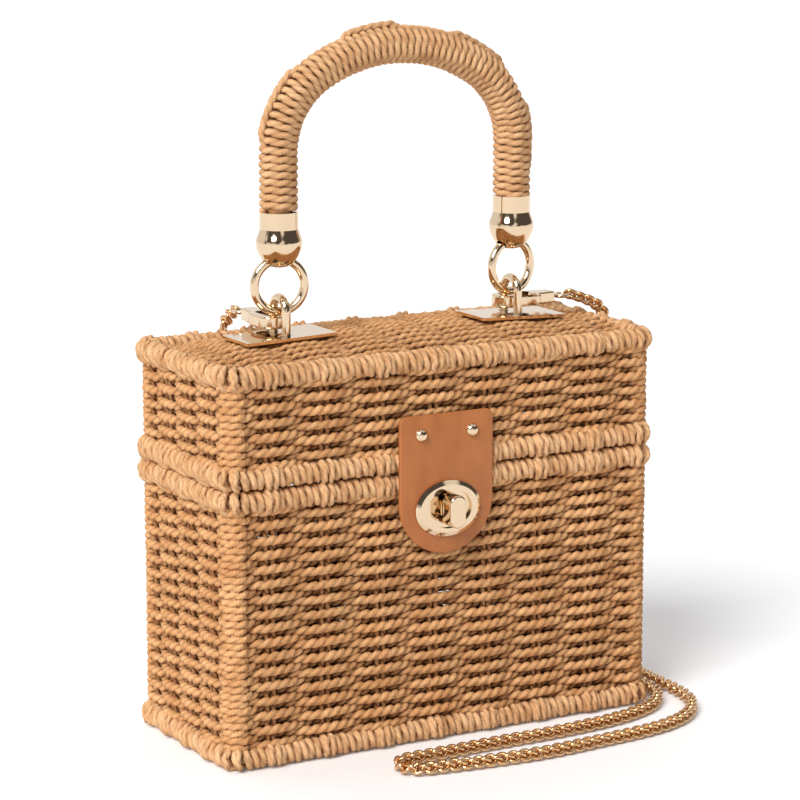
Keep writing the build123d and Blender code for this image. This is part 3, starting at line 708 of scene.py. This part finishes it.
# %% the handle's arch line
wrap_low, wrap_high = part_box("handle_wrap")
leg_x = 54.0
leg_low = wrap_low.z / MM
wrap_radius = 7.75
arch_top = wrap_high.z / MM - wrap_radius
shoulder_x, shoulder_r, crown_r = 18.0, 36.0, 70.0
crown_low = arch_top - crown_r
shoulder_z = crown_low + sqrt((crown_r - shoulder_r) ** 2 - shoulder_x**2)
knee = atan2(shoulder_z - crown_low, shoulder_x)
leg_run = shoulder_z - leg_low
shoulder_run = shoulder_r * knee
crown_run = crown_r * (pi - 2 * knee)
handle_run = 2 * (leg_run + shoulder_run) + crown_run

def handle_at(run):
    """A place on the arch line and its outward direction, from the left foot to the right."""
    if run > handle_run / 2:
        place, out = handle_at(handle_run - run)
        return Vector((-place.x, 0, place.z)), Vector((-out.x, 0, out.z))
    if run < leg_run:
        return Vector((-leg_x, 0, leg_low + run)), Vector((-1, 0, 0))
    run -= leg_run
    if run < shoulder_run:
        turn = pi - run / shoulder_r
        out = Vector((cos(turn), 0, sin(turn)))
        return Vector((-shoulder_x, 0, shoulder_z)) + out * shoulder_r, out
    turn = pi - knee - (run - shoulder_run) / crown_r
    out = Vector((cos(turn), 0, sin(turn)))
    return Vector((0, 0, crown_low)) + out * crown_r, out

print("handle line", round(handle_run, 1), "mm")

# %% wind the handle
handle_pitch, handle_steps, end_margin = 3.05, 36, 0.2
handle_reach, handle_cord, handle_lay = 6.1, 1.84, 11.0
handle_turns = round(handle_run / handle_pitch)
last_point = handle_turns * handle_steps
random.seed(41)
wound = new_rope()
points, ups = [], []
for i in range(last_point + 1):
    turn = 2 * pi * i / handle_steps
    lap = i / handle_steps
    uneven = 0.2 * noise.noise(Vector((lap * 0.5, 0.4, 4.0))) - 0.3 * sin(turn)
    run = handle_run * i / last_point + uneven
    place, out = handle_at(min(handle_run - end_margin, max(end_margin, run)))
    reach = handle_reach + 0.15 * noise.noise(Vector((lap * 0.7, 2.1, 0.2)))
    ups.append(out * cos(turn) + Vector((0, sin(turn), 0)))
    points.append(place + ups[-1] * reach)
add_strand(wound, points, handle_cord, handle_lay, ups=ups)
light_reach, dark_over = 7.3, 2.8

def handle_shade_and_dust(p):
    """How much painted shade, with a little dust, a place gets: more the deeper it lies under the winding's
    outside.
    """
    if abs(p.x) > shoulder_x and p.z < shoulder_z:
        near = Vector((leg_x if p.x > 0 else -leg_x, 0, p.z))
    else:
        center, reach = Vector((0, 0, crown_low)), crown_r
        away = p - center
        if abs(atan2(away.z, abs(away.x))) < knee:
            center, reach = Vector((shoulder_x if p.x > 0 else -shoulder_x, 0, shoulder_z)), shoulder_r
        away = Vector((p.x - center.x, 0, p.z - center.z)).normalized()
        near = center + away * reach
    return (light_reach - (p - near).length) / dark_over

handle_object = rope_object("handle_winding", wound, handle_shade_and_dust)
finish_piece(handle_object, straw_bound, "handle", ["handle_wrap"])
print("handle turns", handle_turns)

# %% lace along the handle
lace_outside = [(27, 54), (75, 98), (121, 146), (160, 187)]
lace_low, lace_lift, lace_ramp = 4.9, 3.4, 3
lace_step, lace_radius, lace_lay = 0.9, 1.6, 8.5

def lace_height(run):
    """How far the lace stands over the winding: up where it is outside, down where it dives."""
    level = lace_low
    for low, high in lace_outside:
        if low - lace_ramp < run < high + lace_ramp:
            rise = (run - low + lace_ramp) / (2 * lace_ramp)
            fall = (high + lace_ramp - run) / (2 * lace_ramp)
            part = min(1.0, rise, fall)
            level = max(level, lace_low + lace_lift * part * part * (3 - 2 * part))
    return level

laced = new_rope()
points, ups = [], []
for i in range(int(handle_run / lace_step)):
    run = lace_step + i * lace_step
    place, out = handle_at(run)
    points.append(place + out * lace_height(run) + Vector((0, 0.5 * sin(run * 0.11), 0)))
    ups.append(out)
add_strand(laced, points, lace_radius, lace_lay, 0.4, ups=ups)
lace_object = rope_object("handle_lacing", laced, lambda p: 0.0)
finish_piece(lace_object, straw_bound, "handle", ["handle_lace"])

# %% [markdown]
# ## Hinge ties
# At the back the lid hangs on two cord ties, each wound four times round both rims. A tie is one
# strand, led round a half circle over the lid's rim and another under the body's.

# %% wind the hinge ties
tie_turns, tie_steps, tie_radius, tie_lay = 4, 24, 1.2, 6.5
seam_z, rim_apart, tie_reach = 112.1, 4.5, 5.45
for side_name in ("left", "right"):
    tie_low, tie_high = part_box(f"hinge_tie_{side_name}")
    low_x, high_x = tie_low.x / MM + 1.0, tie_high.x / MM - 1.0
    tie = new_rope()
    points, ups = [], []
    for i in range(tie_turns * tie_steps):
        turn = 2 * pi * (i / tie_steps)
        x = low_x + (high_x - low_x) * i / (tie_turns * tie_steps - 1)
        lift = seam_z + (rim_apart if sin(turn) > 0 else -rim_apart) * min(1.0, abs(sin(turn)) * 2.2)
        ups.append(Vector((0, cos(turn), sin(turn))))
        points.append(Vector((x, half_y + tie_reach * cos(turn), lift + tie_reach * sin(turn) * 0.98)))
    add_strand(tie, points, tie_radius, tie_lay, ups=ups)
    tie_object = rope_object(f"hinge_cord_{side_name}", tie, lambda p: 0.1)
    finish_piece(tie_object, straw_bound, "body", [f"hinge_tie_{side_name}"])

# %% [markdown]
# ## Leather tab
# The tab is a strap of hide with a rounded end and an oval hole for the lock's eyelet. Its outline
# and the hole's are drawn with short straight lines and the leather between them is filled, which is
# simpler than cutting a disc out with a Boolean. Then it gets its thickness, and a small bevel for
# the burnished edges.

# %% the tab
tab_low, tab_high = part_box("tab_leather")
tab_x = (tab_low.x + tab_high.x) / 2
tab_half = (tab_high.x - tab_low.x) / 2
thick = tab_high.y - tab_low.y
end_steps, corner_steps, hole_steps = 24, 6, 32
corner_round, edge_bevel = 3 * MM, 0.55 * MM
outline = []
for i in range(end_steps + 1):
    turn = pi + pi * i / end_steps
    outline.append((tab_x + tab_half * cos(turn), tab_low.z + tab_half + tab_half * sin(turn)))
corner_z = tab_high.z - corner_round
for corner_x, start in ((tab_high.x - corner_round, 0), (tab_low.x + corner_round, pi / 2)):
    for i in range(corner_steps + 1):
        turn = start + pi / 2 * i / corner_steps
        outline.append((corner_x + corner_round * cos(turn), corner_z + corner_round * sin(turn)))
print("outline", len(outline), "points")

# %% the hole and the thickness
washer_low, washer_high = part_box("tab_eyelet_washer")
washer_overlap = 3 * MM
hole_x, hole_z = (washer_low.x + washer_high.x) / 2, (washer_low.z + washer_high.z) / 2
hole_wide = (washer_high.x - washer_low.x) / 2 - washer_overlap
hole_high = (washer_high.z - washer_low.z) / 2 - washer_overlap
hole = []
for i in range(hole_steps):
    turn = 2 * pi * i / hole_steps
    hole.append((hole_x + hole_wide * cos(turn), hole_z + hole_high * sin(turn)))
tab = bmesh.new()
edges = []
for loop in (outline, hole):
    ring = [tab.verts.new((x, tab_high.y, z)) for x, z in loop]
    edges += [tab.edges.new((ring[i - 1], ring[i])) for i in range(len(ring))]
bmesh.ops.triangle_fill(tab, use_beauty=True, use_dissolve=False, edges=edges)
made = bmesh.ops.extrude_face_region(tab, geom=tab.faces[:])
front_verts = [g for g in made["geom"] if isinstance(g, bmesh.types.BMVert)]
bmesh.ops.translate(tab, vec=(0, -thick, 0), verts=front_verts)
bmesh.ops.recalc_face_normals(tab, faces=tab.faces)
same_y, square = 1e-7, 0.1
cut_edges = []
for edge in tab.edges:
    level = abs(edge.verts[0].co.y - edge.verts[1].co.y) < same_y
    if level and abs(edge.calc_face_angle(0.0) - pi / 2) < square:
        cut_edges.append(edge)
bmesh.ops.bevel(
    tab, geom=cut_edges, offset=edge_bevel, affect="EDGES", segments=3, profile=0.5, material=-1
)
tab_mesh = bpy.data.meshes.new("leather_tab")
tab.to_mesh(tab_mesh)
tab.free()
finish_piece(add_object("leather_tab", tab_mesh), leather, "lid", ["tab_leather"])

# %% [markdown]
# ## Fittings
# The plates, arches, rings, caps, clasps and lock are the CAD model's own solids, so only their
# finish is set here. The wire frames and the handle's rod are taped in the cord's colour before
# they are wound, so that no metal glints through the weave.

# %% finish the CAD fittings
for name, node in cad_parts.items():
    if node.hide_render:
        continue
    finish = straw_bound if "frame" in name or name == "handle_core" else gold
    node.data.materials.clear()
    node.data.materials.append(finish)
print("fittings finished")

# %% [markdown]
# ## Floor and light
# A pale floor under a white surround stands for a studio's paper sweep. It glows a very little, to
# stay as white as the surround. One soft sun from the front left gives the bag its form and a
# shadow on the right. A few dark cards stand round the front, because polished metal looks like
# metal only where it has something dark to mirror: a noise in the surround's colour makes them,
# and two ranges keep them off the floor and off the back.

# %% floor
floor_reach = 20.0
floor_shape = bmesh.new()
bmesh.ops.create_grid(floor_shape, x_segments=1, y_segments=1, size=floor_reach)
floor_mesh = bpy.data.meshes.new("floor")
floor_shape.to_mesh(floor_mesh)
floor_shape.free()
floor = add_object("floor", floor_mesh)
floor_finish, nodes, links, shader = new_material("pale_floor")
shader.inputs["Base Color"].default_value = (0.86, 0.86, 0.865, 1)
shader.inputs["Roughness"].default_value = 0.9
shader.inputs["Emission Color"].default_value = (1, 1, 1, 1)
shader.inputs["Emission Strength"].default_value = 0.06
floor.data.materials.append(floor_finish)
print("floor", 2 * floor_reach, "m wide")

# %% surround
scene.view_settings.view_transform = "Standard"
world = bpy.data.worlds.new("studio")
scene.world = world
world.use_nodes = True
sky, join = world.node_tree.nodes, world.node_tree.links
facing = sky.new("ShaderNodeTexCoord")
split = sky.new("ShaderNodeSeparateXYZ")
cards = sky.new("ShaderNodeTexNoise")
cards.inputs["Scale"].default_value = 1.7
cards.inputs["Detail"].default_value = 0.0
card_edge = sky.new("ShaderNodeMapRange")
card_edge.inputs["From Min"].default_value = 0.40
card_edge.inputs["From Max"].default_value = 0.47
height = sky.new("ShaderNodeMapRange")
height.inputs["From Min"].default_value = 0.02
height.inputs["From Max"].default_value = 0.12
front = sky.new("ShaderNodeMapRange")
front.inputs["From Min"].default_value = 0.35
front.inputs["From Max"].default_value = 0.15
both = sky.new("ShaderNodeMath")
both.operation = "MULTIPLY"
all_three = sky.new("ShaderNodeMath")
all_three.operation = "MULTIPLY"
surround = sky.new("ShaderNodeMix")
surround.data_type = "RGBA"
surround.inputs[COLOUR_A].default_value = (1.0, 1.0, 1.0, 1)
surround.inputs[COLOUR_B].default_value = (0.10, 0.095, 0.09, 1)
join.new(facing.outputs["Generated"], cards.inputs["Vector"])
join.new(facing.outputs["Generated"], split.inputs["Vector"])
join.new(cards.outputs["Fac"], card_edge.inputs["Value"])
join.new(split.outputs["Z"], height.inputs["Value"])
join.new(card_edge.outputs["Result"], both.inputs[0])
join.new(height.outputs["Result"], both.inputs[1])
join.new(split.outputs["Y"], front.inputs["Value"])
join.new(both.outputs["Value"], all_three.inputs[0])
join.new(front.outputs["Result"], all_three.inputs[1])
join.new(all_three.outputs["Value"], surround.inputs[FACTOR])
join.new(surround.outputs[COLOUR_OUT], sky["Background"].inputs["Color"])
sky["Background"].inputs["Strength"].default_value = 0.9
print("surround", len(sky), "nodes")

# %% sun
key = bpy.data.lights.new("key_light", "SUN")
key.energy = 3.1
key.angle = radians(30)
key_object = add_object("key_light", key)
key_object.rotation_euler = Vector((1.45, 0.9, -1.5)).to_track_quat("-Z", "Y").to_euler()
